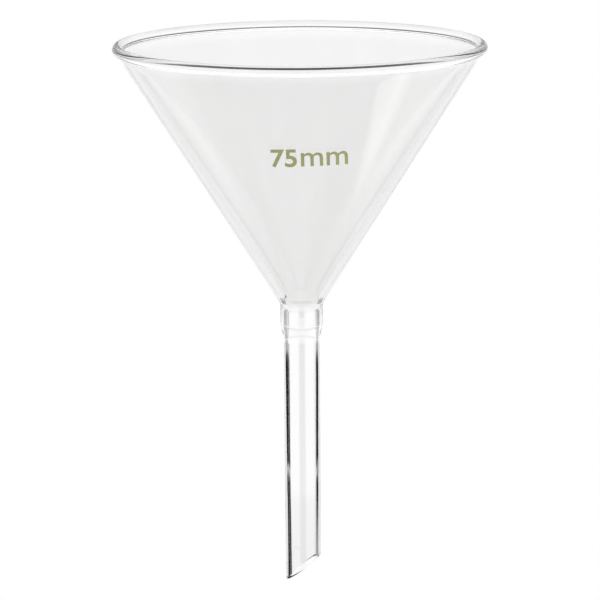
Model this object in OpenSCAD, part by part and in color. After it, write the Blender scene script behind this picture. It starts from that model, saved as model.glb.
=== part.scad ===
// Conical glass funnel: one blown piece, standing on its rim with the mouth down.

/* [Rim and cone] */
// Outside diameter of the beaded rim
rim_d = 75; // [60:1:100]
// Thickness of the rounded bead along the rim
bead_d = 2.1; // [1.8:0.1:3]
// Radius of the hollow between the bead and the wall, on both faces
bead_blend = 0.8; // [0.4:0.1:2]
// Opening angle of the cone from wall to wall, in degrees
cone_angle = 65; // [55:1:70]
// Thickness of the cone's wall
wall = 1.3; // [1:0.1:1.6]

/* [Neck] */
// Outside diameter of the collar below the cone
collar_d = 8.6; // [8.2:0.1:10]
// Length of the collar
collar_len = 3.6; // [2:0.1:8]
// Length over which the collar narrows to the stem
shoulder_len = 4.4; // [2:0.2:8]
// Radius of the outside corner between the cone and the collar
neck_blend = 1.5; // [0.5:0.1:3]
// Radius of the rounded throat between the cone and the bore
throat_blend = 8; // [1:0.5:12]

/* [Stem] */
// Outside diameter of the stem
stem_d = 7.2; // [6.8:0.1:8]
// Diameter of the bore
bore_d = 5.8; // [4.6:0.1:6]
// Length from the neck to the longer side of the tip
stem_len = 57; // [40:1:100]
// Length of the drawn end of the stem
drawn_len = 17; // [6:1:25]
// Outside diameter at the tip
tip_d = 7; // [6.6:0.1:7.8]
// Diameter of the bore at the tip
tip_bore_d = 5.5; // [4.4:0.1:5.9]
// Slant of the tip's cut, in degrees from a square end
tip_slant = 36; // [0:1:50]

/* [Hidden] */
$fn = 96;

// Segments in each rounded stretch of the section
ARC_STEPS = 8;
BEAD_STEPS = 24;
// Stem left below the tip, for the slanting cut to take off
cut_waste = 2;

// The section lies in the plane of radius and height, with the mouth up. Height 0 is at the neck,
// where the line of the cone's outer face meets the collar.
lean = cone_angle / 2;
bead_r = bead_d / 2;
ring_r = rim_d / 2 - bead_r;
collar_r = collar_d / 2;
stem_r = stem_d / 2;
bore_r = bore_d / 2;
tip_r = tip_d / 2;
tip_bore_r = tip_bore_d / 2;
half_wall = wall / 2;
wall_width = wall / cos(lean);
// Height of the bead's centre, which the middle of the wall runs into
bead_z = (ring_r + wall_width / 2 - collar_r) / tan(lean);
// Height at which the line of the cone's inner face meets the bore
throat_z = (bore_r - collar_r + wall_width) / tan(lean);
shoulder_z = -collar_len - shoulder_len;
drawn_z = drawn_len - stem_len;
end_z = -stem_len - cut_waste;

function polar(r, angle) = [r * cos(angle), r * sin(angle)];

// Points of an arc, from one angle to another
function arc(centre, r, from, to, steps) =
    [for (i = [0:steps]) centre + polar(r, from + (to - from) * i / steps)];

// The bead with its two hollows, from the outer face of the wall round to the inner face.
// Angles are measured from the outward normal of the cone.
hollow_r = bead_r + bead_blend;
hollow_angle = asin((half_wall + bead_blend) / hollow_r);
outward = -lean;
down_wall = outward - 90;
bead_centre = [ring_r, bead_z];

function hollow_centre(side) = bead_centre + polar(hollow_r, down_wall + side * hollow_angle);

bead_outline = concat(
    arc(hollow_centre(1), bead_blend, outward + 180, down_wall + 180 + hollow_angle, ARC_STEPS),
    arc(bead_centre, bead_r, down_wall + hollow_angle, down_wall + 360 - hollow_angle, BEAD_STEPS),
    arc(hollow_centre(-1), bead_blend, down_wall + 180 - hollow_angle, outward, ARC_STEPS)
);

// The throat, from the inner face of the cone down to the bore
throat_centre = [bore_r + throat_blend, throat_z - throat_blend * tan(lean / 2)];
throat_outline = arc(throat_centre, throat_blend, 180 - lean, 180, ARC_STEPS);

// The drawn end, which keeps its slope past the tip
function drawn_r(straight_r, end_r) = end_r + (end_r - straight_r) * cut_waste / drawn_len;

tip_outline = [
    [bore_r, drawn_z],
    [drawn_r(bore_r, tip_bore_r), end_z],
    [drawn_r(stem_r, tip_r), end_z],
    [stem_r, drawn_z],
];

// The shoulder swings from the stem out to the collar, level with both
shoulder_outline = [
    for (i = [0:ARC_STEPS])
        let (turn = 180 * i / ARC_STEPS)
        [stem_r + (collar_r - stem_r) * (1 - cos(turn)) / 2, shoulder_z + shoulder_len * i / ARC_STEPS]
];

// The outside corner between the collar and the cone
neck_centre = [collar_r + neck_blend, -neck_blend * tan(lean / 2)];
neck_outline = arc(neck_centre, neck_blend, 180, 180 - lean, ARC_STEPS);

section = concat(bead_outline, throat_outline, tip_outline, shoulder_outline, neck_outline);

// Turns the funnel over onto its rim, with the origin on the ground under its axis
module on_rim() {
    translate([0, 0, bead_z + bead_r])
        rotate([0, 180, 0])
            children();
}

// What the slanting cut takes off the stem, from the longer side on the left
module tip_waste() {
    size = 4 * (tip_d + cut_waste);
    translate([-tip_r, 0, -stem_len])
        rotate([0, -tip_slant, 0])
            translate([-size / 2, -size / 2, -size])
                cube(size);
}

module funnel() {
    color([0.93, 0.95, 0.94, 0.35])
        on_rim()
            difference() {
                rotate_extrude() polygon(section);
                tip_waste();
            }
}

funnel();
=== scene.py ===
import math

import bmesh
import bpy
from mathutils import Matrix, Vector


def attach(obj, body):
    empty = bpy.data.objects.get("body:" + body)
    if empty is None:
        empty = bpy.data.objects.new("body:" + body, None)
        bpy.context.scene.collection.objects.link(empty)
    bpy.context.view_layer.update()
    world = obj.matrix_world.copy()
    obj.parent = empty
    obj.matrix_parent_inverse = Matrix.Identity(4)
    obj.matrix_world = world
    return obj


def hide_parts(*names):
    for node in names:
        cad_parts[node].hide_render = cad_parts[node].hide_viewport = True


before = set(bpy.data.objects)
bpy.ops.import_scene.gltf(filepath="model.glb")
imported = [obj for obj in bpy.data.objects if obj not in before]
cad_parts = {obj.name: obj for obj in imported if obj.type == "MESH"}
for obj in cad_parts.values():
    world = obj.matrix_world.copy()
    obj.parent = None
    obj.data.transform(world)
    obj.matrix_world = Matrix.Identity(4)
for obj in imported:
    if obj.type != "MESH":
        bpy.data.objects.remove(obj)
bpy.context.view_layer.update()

# The funnel is one piece of clear borosilicate glass. The cone is blown and its rim melted back to
# a bead, the stem is drawn from tube and joined on at a collar, and the tip is cut at a slant. It
# stands on its rim with the mouth down, as it is put down on a bench. Sizes are in millimetres.
MM = 0.001
RIM_R = 37.5
BEAD_R = 1.05
BEAD_BLEND = 0.8
CONE_LEAN = math.radians(32.5)
CONE_WALL = 1.3
COLLAR_R = 4.3
COLLAR_LEN = 3.6
SHOULDER_LEN = 4.4
NECK_BLEND = 1.5
THROAT_BLEND = 8.0
# The throat ends in a faint corner, so that the bore below it shades as a straight wall
THROAT_CORNER = math.radians(5)
STEM_R = 3.6
BORE_R = 2.9
STEM_LEN = 57.0
DRAWN_LEN = 17.0
TIP_R = 3.5
TIP_BORE_R = 2.75
TIP_SLANT = math.radians(36)
# Left past the tip, for the slanting cut to take off
TIP_WASTE = 2.0
# Rounding of the cut edges, in small flats that shade apart from the walls
TIP_POLISH = 0.12
POLISH_STEPS = 3
SHARP_ANGLE = math.radians(8)
ROUND_STEPS = 256
BEAD_STEPS = 40
BLEND_STEPS = 10
WALL_STEPS = 24
SWING_STEPS = 32
THROAT_STEPS = 32
# A short step beside a bend, so that the long wall next to it shades straight
EASE = 0.2
# Points nearer than this, in metres, are one point
WELD = 1e-7

wall_width = CONE_WALL / math.cos(CONE_LEAN)
ring_r = RIM_R - BEAD_R
bead_height = (ring_r + wall_width / 2 - COLLAR_R) / math.tan(CONE_LEAN)
stand_height = bead_height + BEAD_R


def at(radius, height):
    """A point of the section, from its radius and its height over the neck with the mouth up."""
    return Vector((radius, 0, stand_height - height)) * MM


def draw_arc(bm, start, centre, angle, steps):
    """Carries the section on along an arc, and returns its last point."""
    made = bmesh.ops.spin(bm, geom=[start], cent=centre, axis=(0, 1, 0), angle=angle, steps=steps)
    return next(g for g in made["geom_last"] if isinstance(g, bmesh.types.BMVert))


def draw_line(bm, start, end, steps=1):
    """Carries the section on along a straight wall in equal steps, and returns its last point."""
    step = (end - start.co) / steps
    for _ in range(steps):
        start = bmesh.ops.extrude_vert_indiv(bm, verts=[start])["verts"][0]
        bmesh.ops.translate(bm, verts=[start], vec=step)
    return start


def draw_swing(bm, start, radius, height):
    """Swings the wall to another radius, upright at both ends, and returns its last point."""
    old_radius = start.co.x / MM
    old_height = stand_height - start.co.z / MM
    for i in range(1, SWING_STEPS + 1):
        share = i / SWING_STEPS
        swing = (1 - math.cos(math.pi * share)) / 2
        new_radius = old_radius + (radius - old_radius) * swing
        start = draw_line(bm, start, at(new_radius, old_height + (height - old_height) * share))
    return start


def draw_section(bm):
    """Draws the wall's section: round the bead, down the inside to the tip and up the outside.
    Returns the level of the faint corner in which the throat ends."""
    outward = Vector((math.cos(CONE_LEAN), -math.sin(CONE_LEAN)))
    hollow_r = BEAD_R + BEAD_BLEND
    hollow = math.asin((CONE_WALL / 2 + BEAD_BLEND) / hollow_r)
    down_wall = -CONE_LEAN - math.pi / 2
    bead = Vector((ring_r, bead_height))

    def hollow_centre(angle):
        return bead + hollow_r * Vector((math.cos(angle), math.sin(angle)))

    outer_hollow = hollow_centre(down_wall + hollow)
    inner_hollow = hollow_centre(down_wall - hollow)
    wall_top = outer_hollow - outward * BEAD_BLEND
    point = bm.verts.new(at(*wall_top))
    point = draw_arc(bm, point, at(*outer_hollow), hollow - math.pi / 2, BLEND_STEPS)
    point = draw_arc(bm, point, at(*bead), math.tau - 2 * hollow, BEAD_STEPS)
    point = draw_arc(bm, point, at(*inner_hollow), hollow - math.pi / 2, BLEND_STEPS)

    throat_height = (BORE_R - COLLAR_R + wall_width) / math.tan(CONE_LEAN)
    throat_drop = THROAT_BLEND * math.tan(CONE_LEAN / 2)
    throat = Vector((BORE_R + THROAT_BLEND, throat_height - throat_drop))
    drawn_height = DRAWN_LEN - STEM_LEN
    point = draw_line(bm, point, at(*(throat - outward * THROAT_BLEND)), WALL_STEPS)
    point = draw_arc(bm, point, at(*throat), CONE_LEAN - THROAT_CORNER, THROAT_STEPS)
    corner = point
    point = draw_line(bm, point, at(BORE_R, drawn_height), WALL_STEPS)

    cut_height = 2 * STEM_R * math.tan(TIP_SLANT) + EASE - STEM_LEN
    end_height = -STEM_LEN - TIP_WASTE

    def drawn(straight_r, tip_r, height):
        share = (drawn_height - height) / DRAWN_LEN
        return at(straight_r + (tip_r - straight_r) * share, height)

    point = draw_line(bm, point, drawn(BORE_R, TIP_BORE_R, cut_height), WALL_STEPS)
    point = draw_line(bm, point, drawn(BORE_R, TIP_BORE_R, end_height))
    point = draw_line(bm, point, drawn(STEM_R, TIP_R, end_height))
    point = draw_line(bm, point, drawn(STEM_R, TIP_R, cut_height))
    point = draw_line(bm, point, at(STEM_R, drawn_height), WALL_STEPS)

    shoulder_height = -COLLAR_LEN - SHOULDER_LEN
    point = draw_line(bm, point, at(STEM_R, shoulder_height - EASE), WALL_STEPS)
    point = draw_line(bm, point, at(STEM_R, shoulder_height))
    point = draw_swing(bm, point, COLLAR_R, -COLLAR_LEN)
    point = draw_line(bm, point, at(COLLAR_R, EASE - COLLAR_LEN))
    neck = Vector((COLLAR_R + NECK_BLEND, -NECK_BLEND * math.tan(CONE_LEAN / 2)))
    point = draw_line(bm, point, at(COLLAR_R, neck.y), BLEND_STEPS)
    point = draw_arc(bm, point, at(*neck), -CONE_LEAN, BLEND_STEPS)
    draw_line(bm, point, at(*wall_top), WALL_STEPS)
    return corner.co.z


def whole(bm):
    """All the corners, edges and faces of a mesh."""
    return bm.verts[:] + bm.edges[:] + bm.faces[:]


def new_object(name, bm, material):
    """Turns a finished bmesh into an object at the origin."""
    mesh = bpy.data.meshes.new(name)
    bm.to_mesh(mesh)
    bm.free()
    mesh.materials.append(material)
    made = bpy.data.objects.new(name, mesh)
    bpy.context.scene.collection.objects.link(made)
    return made


def new_material(name):
    """A material with its node tree and its shader."""
    made = bpy.data.materials.new(name)
    made.use_nodes = True
    return made, made.node_tree, made.node_tree.nodes["Principled BSDF"]


def feed(tree, node, inputs):
    """Feeds a node's inputs from sockets or plain values."""
    for key, value in inputs.items():
        if isinstance(value, bpy.types.NodeSocket):
            tree.links.new(value, node.inputs[key])
        else:
            node.inputs[key].default_value = value


def add_node(tree, kind, inputs=None, **settings):
    """Adds a node with its settings, feeds its inputs, and returns its outputs."""
    node = tree.nodes.new(kind)
    for name, value in settings.items():
        setattr(node, name, value)
    feed(tree, node, inputs or {})
    return node.outputs


def calc(tree, operation, *values):
    """The outcome of one sum on sockets or numbers."""
    return add_node(tree, "ShaderNodeMath", dict(enumerate(values)), operation=operation)[0]


def by_stops(tree, value, stops):
    """A colour or a grey that follows a value through stops, and stays even before and after."""
    first, last = stops[0][0], stops[-1][0]
    share = calc(tree, "DIVIDE", calc(tree, "SUBTRACT", value, first), last - first)
    ramp = tree.nodes.new("ShaderNodeValToRGB")
    elements = ramp.color_ramp.elements
    while len(elements) < len(stops):
        elements.new(0.5)
    for element, (place, colour) in zip(elements, stops):
        element.position = (place - first) / (last - first)
        element.color = (*colour, 1) if isinstance(colour, tuple) else (colour, colour, colour, 1)
    tree.links.new(share, ramp.inputs["Fac"])
    return ramp.outputs["Color"]


bm = bmesh.new()
corner_z = draw_section(bm)
bmesh.ops.remove_doubles(bm, verts=bm.verts, dist=WELD)
bmesh.ops.spin(bm, geom=bm.verts[:] + bm.edges[:], cent=(0, 0, 0), axis=(0, 0, 1),
               angle=math.tau, steps=ROUND_STEPS, use_merge=True)
bmesh.ops.remove_doubles(bm, verts=bm.verts, dist=WELD)
bmesh.ops.recalc_face_normals(bm, faces=bm.faces)
bmesh.ops.bisect_plane(bm, geom=whole(bm), dist=WELD, clear_outer=True,
                       plane_co=at(TIP_R, -STEM_LEN),
                       plane_no=(-math.sin(TIP_SLANT), 0, math.cos(TIP_SLANT)))
tip_edges = [e for e in bm.edges if e.is_boundary]
bmesh.ops.bridge_loops(bm, edges=tip_edges)
bmesh.ops.recalc_face_normals(bm, faces=bm.faces)
bmesh.ops.bevel(bm, geom=tip_edges, offset=TIP_POLISH * MM, offset_type="OFFSET", affect="EDGES",
                segments=POLISH_STEPS, profile=0.5, material=-1)
for face in bm.faces:
    face.smooth = True
for edge in bm.edges:
    in_bore = all(v.co.xy.length < STEM_R * MM for v in edge.verts)
    at_corner = in_bore and all(abs(v.co.z - corner_z) < WELD for v in edge.verts)
    edge.smooth = not at_corner and edge.calc_face_angle(0) < SHARP_ANGLE

GLASS_BEND = 1.473
# The cone's wall is tinted a little grey, a painted shade for the grey that the cone shows in the
# light. The tint changes a little along the streaks of the draw, and the bead and the stem stay
# clear.
CONE_SHADE_TINT = ((0.35, (0.91, 0.91, 0.907)), (0.65, (0.93, 0.93, 0.928)))
CONE_SPAN = ((1.5, 0), (4.0, 1), (51.7, 1), (54.7, 0))
CLEAR_TINT = (1, 1, 1, 1)
LEVEL = (1, 1, 0)
STREAK_RUN = (9, 9, 9)
STREAK_SCALE = 3.2
STREAK_DETAIL = 3
RIPPLE = 0.01
clear_glass, tree, shader = new_material("clear_glass")
place = add_node(tree, "ShaderNodeTexCoord")["Object"]
outward = add_node(tree, "ShaderNodeVectorMath", {0: place, 1: LEVEL}, operation="MULTIPLY")[0]
around = add_node(tree, "ShaderNodeVectorMath", {0: outward}, operation="NORMALIZE")[0]
draw_lines = add_node(tree, "ShaderNodeVectorMath", {0: place, 1: STREAK_RUN, 2: around},
                      operation="MULTIPLY_ADD")[0]
streaks = add_node(tree, "ShaderNodeTexNoise", {
    "Vector": draw_lines, "Scale": STREAK_SCALE, "Detail": STREAK_DETAIL})["Fac"]
level = add_node(tree, "ShaderNodeSeparateXYZ", {0: place})["Z"]
# Painted shade: the glass is tinted grey on the cone only, and stays clear at the bead and the
# stem.
painted_shade_tint = add_node(tree, "ShaderNodeMix", {
    "Factor": by_stops(tree, calc(tree, "DIVIDE", level, MM), CONE_SPAN),
    "A": CLEAR_TINT,
    "B": by_stops(tree, streaks, CONE_SHADE_TINT)}, data_type="RGBA")["Result"]
ripple = add_node(tree, "ShaderNodeBump", {
    "Strength": 1.0, "Distance": RIPPLE * MM, "Height": streaks})["Normal"]
feed(tree, shader, {"Base Color": painted_shade_tint, "Normal": ripple, "Roughness": 0.0, "IOR": GLASS_BEND,
                    "Transmission Weight": 1.0})

glass = new_object("funnel_glass", bm, clear_glass)
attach(glass, "root")
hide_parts("funnel")

# The size mark is olive enamel, printed on the outside of the cone and fired on. It gives the
# width of the mouth, and reads the right way up when the mouth is. Each word has its left end, the
# size of its letters, their stretch along the line and their added weight.
MARK_WORDS = (("75", -6.0, 6.25, 0.887, 0.13), ("mm", -0.26, 7.4, 0.887, 0.05))
MARK_HEIGHT = 31.4
MARK_TURN = math.radians(1.3)
MARK_DEPTH = 0.03
MARK_SUNK = 0.01
MARK_SLICE = 0.5
MARK_WELD = 0.001
LETTER_STEPS = 6


def add_letters(bm, words, left, size, stretch, weight):
    """Adds the flat, thick letters of one word to the mark, with the base line along X."""
    curve = bpy.data.curves.new("letters", "FONT")
    curve.body = words
    curve.size = size
    curve.offset = weight
    curve.extrude = MARK_DEPTH / 2
    curve.resolution_u = LETTER_STEPS
    letters = bpy.data.objects.new("letters", curve)
    mesh = bpy.data.meshes.new_from_object(letters)
    mesh.transform(Matrix.Translation((left, 0, 0)) @ Matrix.Diagonal((stretch, 1, 1, 1)))
    bm.from_mesh(mesh)
    bpy.data.objects.remove(letters)
    bpy.data.curves.remove(curve)
    bpy.data.meshes.remove(mesh)


bm = bmesh.new()
for word in MARK_WORDS:
    add_letters(bm, *word)
bmesh.ops.remove_doubles(bm, verts=bm.verts, dist=MARK_WELD)
left = min(v.co.x for v in bm.verts)
right = max(v.co.x for v in bm.verts)
for i in range(1, math.ceil((right - left) / MARK_SLICE)):
    bmesh.ops.bisect_plane(bm, geom=whole(bm), dist=MARK_WELD,
                           plane_co=(left + i * MARK_SLICE, 0, 0), plane_no=(1, 0, 0))
bmesh.ops.rotate(bm, verts=bm.verts, cent=(0, 0, 0), matrix=Matrix.Rotation(MARK_TURN, 3, "Z"))
mark_r = COLLAR_R + MARK_HEIGHT * math.tan(CONE_LEAN)
for v in bm.verts:
    lift = v.co.z + MARK_DEPTH / 2 - MARK_SUNK
    radius = mark_r + v.co.y * math.sin(CONE_LEAN) + lift * math.cos(CONE_LEAN)
    height = MARK_HEIGHT + v.co.y * math.cos(CONE_LEAN) - lift * math.sin(CONE_LEAN)
    v.co = Matrix.Rotation(-math.pi / 2 - v.co.x / radius, 3, "Z") @ at(radius, height)
bmesh.ops.recalc_face_normals(bm, faces=bm.faces)

ENAMEL = ((0.3, (0.36, 0.375, 0.15)), (0.7, (0.48, 0.49, 0.23)))
ENAMEL_ROUGHNESS = 0.4
GRAIN_SCALE = 2500
GRAIN_DETAIL = 4
olive_enamel, tree, shader = new_material("olive_enamel")
place = add_node(tree, "ShaderNodeTexCoord")["Object"]
grain = add_node(tree, "ShaderNodeTexNoise", {
    "Vector": place, "Scale": GRAIN_SCALE, "Detail": GRAIN_DETAIL})["Fac"]
feed(tree, shader, {"Base Color": by_stops(tree, grain, ENAMEL), "Roughness": ENAMEL_ROUGHNESS})

mark = new_object("size_mark", bm, olive_enamel)
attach(mark, "root")

# The floor is a plain white bench top. The photo looks into the mouth, so its camera stands under
# the bench top, which is open from below. Near the funnel, the bench is painted dark for light that
# the glass throws back or bends, a painted shade that draws the edges of the glass on a white
# ground. Under the mouth, it is painted lighter for light seen through the glass.
FLOOR_R = 6.0
FLOOR_SIDES = 64
FLOOR_PAINT = (0.8, 0.8, 0.8, 1)
FLOOR_LIFT = 0.22
# Stops by the reach from the axis, in metres
# Painted light on the bench under the mouth, for light seen through the glass
MOUTH_PAINTED_LIGHT = ((0.045, 0.45), (0.07, 0))
# Painted shade on the bench: how dark it is painted, for light thrown back, steep light and far to
# the sides
THROWN_REACH = ((0.06, 0), (0.12, 0.4), (0.2, 0.4), (0.28, 0))
STEEP_REACH = ((0.18, 0), (0.24, 0.65), (1.0, 0.65), (1.3, 0))
FAR_REACH = ((0.32, 0), (0.4, 0.5), (3.0, 0.5), (4.0, 0))
# Stops by the swing from the way the camera looks, in degrees
FAR_LEFT = ((20, 0), (24, 1), (60, 1), (64, 0))
FAR_RIGHT = ((26, 0), (30, 1), (60, 1), (64, 0))
# Stops by how steeply light falls, how much it grazes, and how high it left the rim, in millimetres
STEEP_FALL = ((0.2, 0), (0.23, 1))
GRAZING = ((0.8, 0), (0.84, 0.85))
LEFT_LOW = ((0.2, 0), (0.4, 1), (1.5, 1), (1.8, 0))
# Faces of glass that light has crossed: one wall has two
ONE_WALL = 2.0
BEFORE_ONE_WALL = 1.5


def times(tree, value, *others):
    """The product of sockets or numbers."""
    for other in others:
        value = calc(tree, "MULTIPLY", value, other)
    return value


def most(tree, value, *others):
    """The largest of sockets or numbers."""
    for other in others:
        value = calc(tree, "MAXIMUM", value, other)
    return value


def without(tree, share):
    """What a share leaves of the whole."""
    return calc(tree, "SUBTRACT", 1.0, share)


def swing_of(tree, spot):
    """The swing of a spot or a direction from the way the camera looks, in degrees."""
    return calc(tree, "DEGREES", calc(tree, "ARCTAN2", spot["X"], spot["Y"]))


bench_top, tree, shader = new_material("bench_top")
tree.nodes.remove(shader)
path = add_node(tree, "ShaderNodeLightPath")
place = add_node(tree, "ShaderNodeTexCoord")["Object"]
reach = add_node(tree, "ShaderNodeVectorMath", {0: place}, operation="LENGTH")["Value"]
facing = add_node(tree, "ShaderNodeLayerWeight")["Facing"]

# Painted light: under the mouth the bench glows more for light seen through the glass, in place of
# the light that the funnel keeps off it. The rest of the glow keeps the bench evenly white.
painted_light_under_mouth = times(tree, by_stops(tree, reach, MOUTH_PAINTED_LIGHT), path["Is Transmission Ray"])
seen = most(tree, path["Is Camera Ray"], path["Is Glossy Ray"])
lift = calc(tree, "ADD", painted_light_under_mouth, times(tree, seen, FLOOR_LIFT))
white_glow_and_painted_light = add_node(tree, "ShaderNodeEmission", {"Strength": lift})[0]
paint = add_node(tree, "ShaderNodeBsdfDiffuse", {"Color": FLOOR_PAINT})[0]
lit = add_node(tree, "ShaderNodeAddShader", {0: white_glow_and_painted_light, 1: paint})[0]

# Painted shade: the bench is painted darker, up to black, for light that the glass threw back, near
# the funnel or where it falls steeply; for light through one wall that grazes the bench just past
# the rim; and far out on both sides for light bent through the glass.
thrown_back = calc(tree, "MINIMUM", path["Glossy Depth"], 1.0)
steepness = without(tree, facing)
steep = times(tree, by_stops(tree, steepness, STEEP_FALL), by_stops(tree, reach, STEEP_REACH))
thrown_shade = times(tree, thrown_back, most(tree, by_stops(tree, reach, THROWN_REACH), steep))

past_rim = calc(tree, "SUBTRACT", reach, ring_r * MM)
left_at = calc(tree, "DIVIDE", times(tree, steepness, past_rim), MM)
one_wall = calc(tree, "COMPARE", path["Transmission Depth"], ONE_WALL, 0.5)
straight = times(tree, one_wall, without(tree, thrown_back))
far_rim = times(tree, by_stops(tree, facing, GRAZING), by_stops(tree, left_at, LEFT_LOW), straight)

swing = swing_of(tree, add_node(tree, "ShaderNodeSeparateXYZ", {0: place}))
far_left = by_stops(tree, swing, FAR_LEFT)
far_right = by_stops(tree, times(tree, swing, -1.0), FAR_RIGHT)
far_sides = times(tree, most(tree, far_left, far_right), by_stops(tree, reach, FAR_REACH))
bent = calc(tree, "GREATER_THAN", path["Transmission Depth"], BEFORE_ONE_WALL)

shade = most(tree, thrown_shade, far_rim, times(tree, far_sides, bent))
# Where the painted shade lies, the bench is mixed towards black.
dark = add_node(tree, "ShaderNodeEmission", {"Strength": 0.0})[0]
shaded = add_node(tree, "ShaderNodeMixShader", {0: shade, 1: lit, 2: dark})[0]
from_below = add_node(tree, "ShaderNodeNewGeometry")["Backfacing"]
clear = add_node(tree, "ShaderNodeBsdfTransparent")[0]
one_sided = add_node(tree, "ShaderNodeMixShader", {0: from_below, 1: shaded, 2: clear})[0]
feed(tree, tree.nodes["Material Output"], {"Surface": one_sided})

bm = bmesh.new()
bmesh.ops.create_circle(bm, cap_ends=True, segments=FLOOR_SIDES, radius=FLOOR_R)
floor = new_object("floor", bm, bench_top)

# The room is white beside the funnel and darker overhead, so that the cone shows grey. Dark strips
# stand behind it, as they do for most photos of glass on white, and the glass bends them into the
# lines along its edges. Stops are in degrees: of rise over the floor where no other is named.
ROOM_LIGHT = 0.8
WHITE = (1, 1, 1, 1)
REFLECTED = ((0, 1.0), (44, 1.0), (52, 0.45), (58, 0.12), (75, 0.02))
SEEN_THROUGH = ((14, 0), (20, 0.06), (50, 0.07), (80, 0.15))
SKIRTING = ((1.8, 0.5), (3.0, 0))
# The window, off its middle and over its sill
WINDOW_WAY = Vector((-0.5571, 0.0534, 0.8287)).normalized()
WINDOW_SPREAD = ((5, 1.7), (13, 0))
WINDOW_SILL_WAY = Vector((0.7528, 0.4638, 0.4671)).normalized()
WINDOW_SILL = ((-0.2, 1), (0.45, 0))
# The strips on both sides, by swing
STRIP_LEFT = ((14, 0), (17, 1), (60, 1), (64, 0))
STRIP_RIGHT = ((22, 0), (26, 1), (60, 1), (64, 0))
STRIP_THROWN = ((22, 0), (26, 1), (60, 1), (64, 0))
STRIP_BESIDE = ((46, 0), (50, 1), (86, 1), (90, 0))
# The strips on both sides, by rise
STRIP_LEFT_RISE = ((0, 0), (1, 1), (14.3, 1), (14.7, 0))
STRIP_RIGHT_RISE = ((0, 0), (1, 1), (13.1, 1), (13.5, 0.6), (14.0, 0.35), (14.7, 0))
STRIP_STEP = ((10.81, 0.52), (10.85, 1), (12.1, 1), (12.13, 0.4), (12.2, 0.4), (12.23, 1))
STRIP_TOP = ((13.95, 1), (14.1, 0))
# How far the strips lean outward, as a share of LEAN_REACH
LEAN_REACH = 100.0
STRIP_LEAN = ((10.9, 0), (12.7, 0.16))
COLLAR_LEAN = ((10.42, 0.08), (10.46, 0))
# The strips in the middle and overhead, by rise and by swing
MIDDLE_RISE = ((9.9, 0), (10.1, 0.1), (10.6, 0.1), (10.8, 0.05), (12.3, 0.02), (12.5, 0))
MIDDLE_SWING = ((0.8, 1), (2.4, 0))
OVERHEAD_RISE = ((16.2, 0), (17.2, 1), (33.5, 1), (34.5, 0))
OVERHEAD_SWING = ((10, 1), (15, 0))
LOWER_SHADE = ((12.3, 0), (12.65, 0.07), (13.4, 0.09), (13.8, 0))
# What light that the glass throws back finds darker. A slant is a swing over a rise.
SEAL_SLANT = ((1.42, 0), (1.6, 0.5), (2.2, 0.55))
SEAL_RISE = ((13.4, 0), (13.8, 1), (26, 1), (29, 0))
EDGE_RISE = ((10.2, 0), (11.2, 0.1), (26, 0.1), (40, 0))
THROWN_AGAIN = ((9.8, 0), (10.2, 0.8), (14.2, 0.8), (14.8, 0))
CAMERA_GAP_RISE = ((16, 1), (22, 0))
CAMERA_GAP_SWING = ((150, 0), (166, 1))
# Limits between the counts of faces crossed, and of throws
BEFORE_TWO_WALLS = 3.5
BEFORE_ONE_THROW = 0.5
BEFORE_TWO_THROWS = 1.5

world = bpy.data.worlds.new("room")
bpy.context.scene.world = world
world.use_nodes = True
room = world.node_tree
room.nodes.clear()


def lessened(light, darkness, gate):
    """A light, taken down by a darkness where a gate is open."""
    return times(room, light, without(room, times(room, darkness, gate)))


def towards(way):
    """The cosine of the angle between the light's direction and a way."""
    return add_node(room, "ShaderNodeVectorMath", {0: place, 1: way},
                    operation="DOT_PRODUCT")["Value"]


path = add_node(room, "ShaderNodeLightPath")
place = add_node(room, "ShaderNodeTexCoord")["Generated"]
spot = add_node(room, "ShaderNodeSeparateXYZ", {0: place})
rise = calc(room, "DEGREES", calc(room, "ARCSINE", spot["Z"]))
swing = swing_of(room, spot)
to_right = times(room, swing, -1.0)
aside = calc(room, "ABSOLUTE", swing)
faces = path["Transmission Depth"]
bent = calc(room, "GREATER_THAN", faces, BEFORE_ONE_WALL)
both_walls = calc(room, "GREATER_THAN", faces, BEFORE_TWO_WALLS)
thrown = calc(room, "GREATER_THAN", path["Glossy Depth"], BEFORE_ONE_THROW)
twice_thrown = calc(room, "GREATER_THAN", path["Glossy Depth"], BEFORE_TWO_THROWS)
in_wall = times(room, thrown, without(room, both_walls))

step = by_stops(room, rise, STRIP_STEP)
left_rise = times(room, by_stops(room, rise, STRIP_LEFT_RISE), step)
right_rise = times(room, by_stops(room, rise, STRIP_RIGHT_RISE), step)
thrown_lean = times(room, by_stops(room, rise, STRIP_LEAN), LEAN_REACH)
collar_lean = times(room, by_stops(room, rise, COLLAR_LEAN), LEAN_REACH)
strip_top = by_stops(room, rise, STRIP_TOP)


def strip(to_side, stops):
    """A dark strip on one side, which leans outward for light thrown back and at the collar."""
    leaning = by_stops(room, calc(room, "SUBTRACT", to_side, thrown_lean), STRIP_THROWN)
    upright = by_stops(room, calc(room, "SUBTRACT", to_side, collar_lean), stops)
    crossing = times(room, upright, strip_top)
    return calc(room, "ADD", times(room, leaning, in_wall),
                times(room, crossing, without(room, in_wall)))


left = times(room, strip(swing, STRIP_LEFT), left_rise)
right = times(room, strip(to_right, STRIP_RIGHT), right_rise)
through = lessened(1.0, most(room, left, right), bent)

overhead = times(room, by_stops(room, rise, OVERHEAD_RISE), by_stops(room, aside, OVERHEAD_SWING))
middle = times(room, by_stops(room, rise, MIDDLE_RISE), by_stops(room, aside, MIDDLE_SWING))
behind = most(room, overhead, middle, by_stops(room, rise, LOWER_SHADE))
through = lessened(through, behind, times(room, both_walls, without(room, thrown)))

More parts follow.
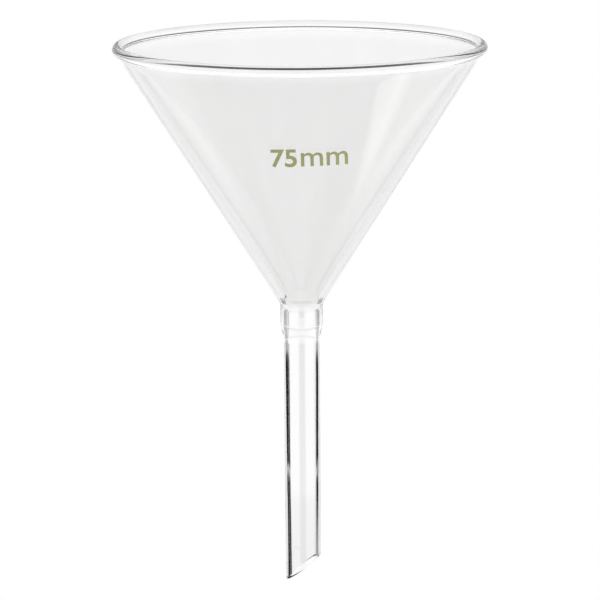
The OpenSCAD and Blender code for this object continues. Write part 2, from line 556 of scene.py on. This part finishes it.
slant = calc(room, "DIVIDE", aside, most(room, rise, 1.0))
seal = times(room, by_stops(room, slant, SEAL_SLANT), by_stops(room, rise, SEAL_RISE))
seal = most(room, seal, by_stops(room, rise, EDGE_RISE))
through = lessened(through, seal, times(room, thrown, bent))
through = lessened(through, by_stops(room, rise, THROWN_AGAIN), times(room, twice_thrown, bent))

straight = without(room, most(room, both_walls, thrown))
plain_dark = calc(room, "ADD", by_stops(room, rise, SKIRTING), by_stops(room, rise, SEEN_THROUGH))
through = lessened(through, plain_dark, straight)

off_window = calc(room, "DEGREES", calc(room, "ARCCOSINE", towards(WINDOW_WAY)))
over_sill = calc(room, "DEGREES", calc(room, "ARCSINE", towards(WINDOW_SILL_WAY)))
window = times(room, by_stops(room, off_window, WINDOW_SPREAD),
               by_stops(room, over_sill, WINDOW_SILL))
reflected = calc(room, "ADD", by_stops(room, rise, REFLECTED), window)
beside_left = times(room, by_stops(room, swing, STRIP_BESIDE), left_rise)
beside_right = times(room, by_stops(room, to_right, STRIP_BESIDE), right_rise)
reflected = lessened(reflected, most(room, beside_left, beside_right), 1.0)

by_glass = add_node(room, "ShaderNodeMix", {
    "Factor": calc(room, "MINIMUM", faces, 1.0), "A": reflected, "B": through})["Result"]
gap = times(room, by_stops(room, aside, CAMERA_GAP_SWING), by_stops(room, rise, CAMERA_GAP_RISE))
studio = add_node(room, "ShaderNodeBackground", {
    "Color": WHITE, "Strength": lessened(by_glass, gap, thrown)})[0]
plain = add_node(room, "ShaderNodeBackground", {"Color": WHITE, "Strength": ROOM_LIGHT})[0]
ground = add_node(room, "ShaderNodeBackground", {"Color": WHITE, "Strength": 1.0})[0]
in_glass = add_node(room, "ShaderNodeMixShader", {
    0: path["Is Glossy Ray"], 1: plain, 2: studio})[0]
in_view = add_node(room, "ShaderNodeMixShader", {
    0: path["Is Camera Ray"], 1: in_glass, 2: ground})[0]
add_node(room, "ShaderNodeOutputWorld", {"Surface": in_view})

# Light runs on for long inside a wall of glass, thrown back from face to face. It is followed
# through many turns, so that the thick places don't go black.
LIGHT_TURNS = 32
cycles = bpy.context.scene.cycles
cycles.max_bounces = LIGHT_TURNS
cycles.glossy_bounces = LIGHT_TURNS
cycles.transmission_bounces = LIGHT_TURNS

# A soft box, a lamp behind a white screen, hangs high over the bench on the photo's right-hand
# side. It lays a soft shadow on the bench, and the glass doesn't show it. Sizes are in metres.
BOX_SIZE = 0.5
BOX_POWER = 4.0
BOX_PLACE = Vector((-0.7, 0.48, 0.85))
lamp_data = bpy.data.lights.new("soft_box", "AREA")
lamp_data.shape = "SQUARE"
lamp_data.size = BOX_SIZE
lamp_data.energy = BOX_POWER
lamp = bpy.data.objects.new("soft_box", lamp_data)
lamp.location = BOX_PLACE
lamp.rotation_mode = "QUATERNION"
lamp.rotation_quaternion = (-BOX_PLACE).to_track_quat("-Z", "Y")
lamp.visible_glossy = False
lamp.visible_transmission = False
bpy.context.scene.collection.objects.link(lamp)

# The camera looks up at the funnel from its mouth's side, and is turned over, so that the picture
# shows the funnel mouth up, as the photo does. It aims just beside the axis, at the neck.
VIEW_RISE = math.radians(10.12)
VIEW_ROLL = math.radians(0.39)
VIEW_DISTANCE = 1.0
VIEW_LENS = 298.0
SENSOR_WIDTH = 36
NEAREST = 0.01
FARTHEST = 20
AIM_ASIDE = 0.31
AIM_HEIGHT = 0.52
aim = at(AIM_ASIDE, AIM_HEIGHT)
forward = Vector((0, math.cos(VIEW_RISE), math.sin(VIEW_RISE)))
up = Vector((0, math.sin(VIEW_RISE), -math.cos(VIEW_RISE)))
up.rotate(Matrix.Rotation(VIEW_ROLL, 3, forward))
turn = Matrix((forward.cross(up), up, -forward)).transposed()
camera_data = bpy.data.cameras.new("camera")
camera_data.lens = VIEW_LENS
camera_data.sensor_width = SENSOR_WIDTH
camera_data.clip_start = NEAREST
camera_data.clip_end = FARTHEST
camera = bpy.data.objects.new("camera", camera_data)
camera.matrix_world = Matrix.Translation(aim - forward * VIEW_DISTANCE) @ turn.to_4x4()
bpy.context.scene.collection.objects.link(camera)
bpy.context.scene.camera = camera
bpy.context.scene.view_settings.view_transform = "Standard"
